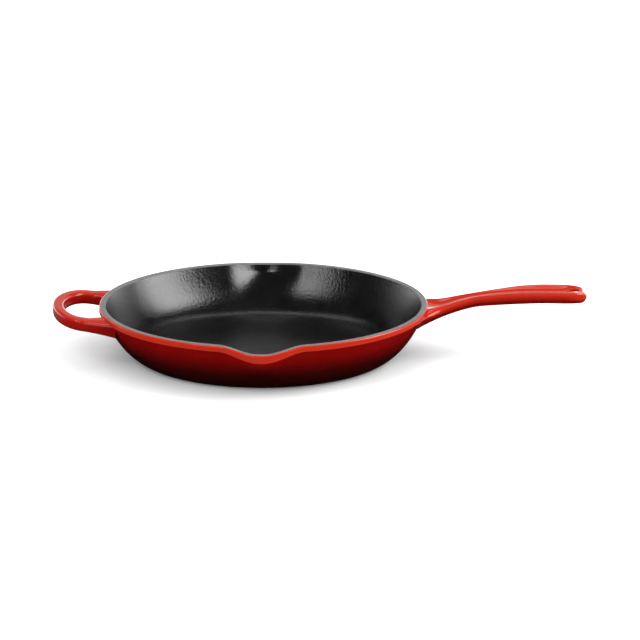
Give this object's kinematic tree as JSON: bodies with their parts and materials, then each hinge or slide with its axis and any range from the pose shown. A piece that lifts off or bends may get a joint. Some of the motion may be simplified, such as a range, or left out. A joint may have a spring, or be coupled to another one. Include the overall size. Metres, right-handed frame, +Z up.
{
  "type": "cast iron skillet",
  "caption": "Shallow round enamelled iron skillet with opposed pouring spouts, a rising long handle with a hang hole and a looped helper handle.",
  "frame": {"origin": "centre of the flat base, on the surface the skillet stands on", "axes": "+X along the long handle, +Y and -Y towards the pouring spouts, +Z up"},
  "size_m": [0.4364, 0.293, 0.0546],
  "materials": {
    "iron": "as cast, under the enamel",
    "interior_enamel": "satin black with a fine grain",
    "rim_enamel": "smooth grey ground coat",
    "base_enamel": "dark satin",
    "exterior_enamel": "high gloss, shaded from orange red at the rim to dark cherry at the base"
  },
  "bodies": {
    "root": {"pan_casting": "iron", "long_handle_casting": "iron", "helper_handle_casting": "iron", "interior_enamel": "interior_enamel", "rim_enamel": "rim_enamel", "base_enamel": "base_enamel", "exterior_enamel": "exterior_enamel", "long_handle_enamel": "exterior_enamel", "helper_handle_enamel": "exterior_enamel"}
  },
  "joints": []
}
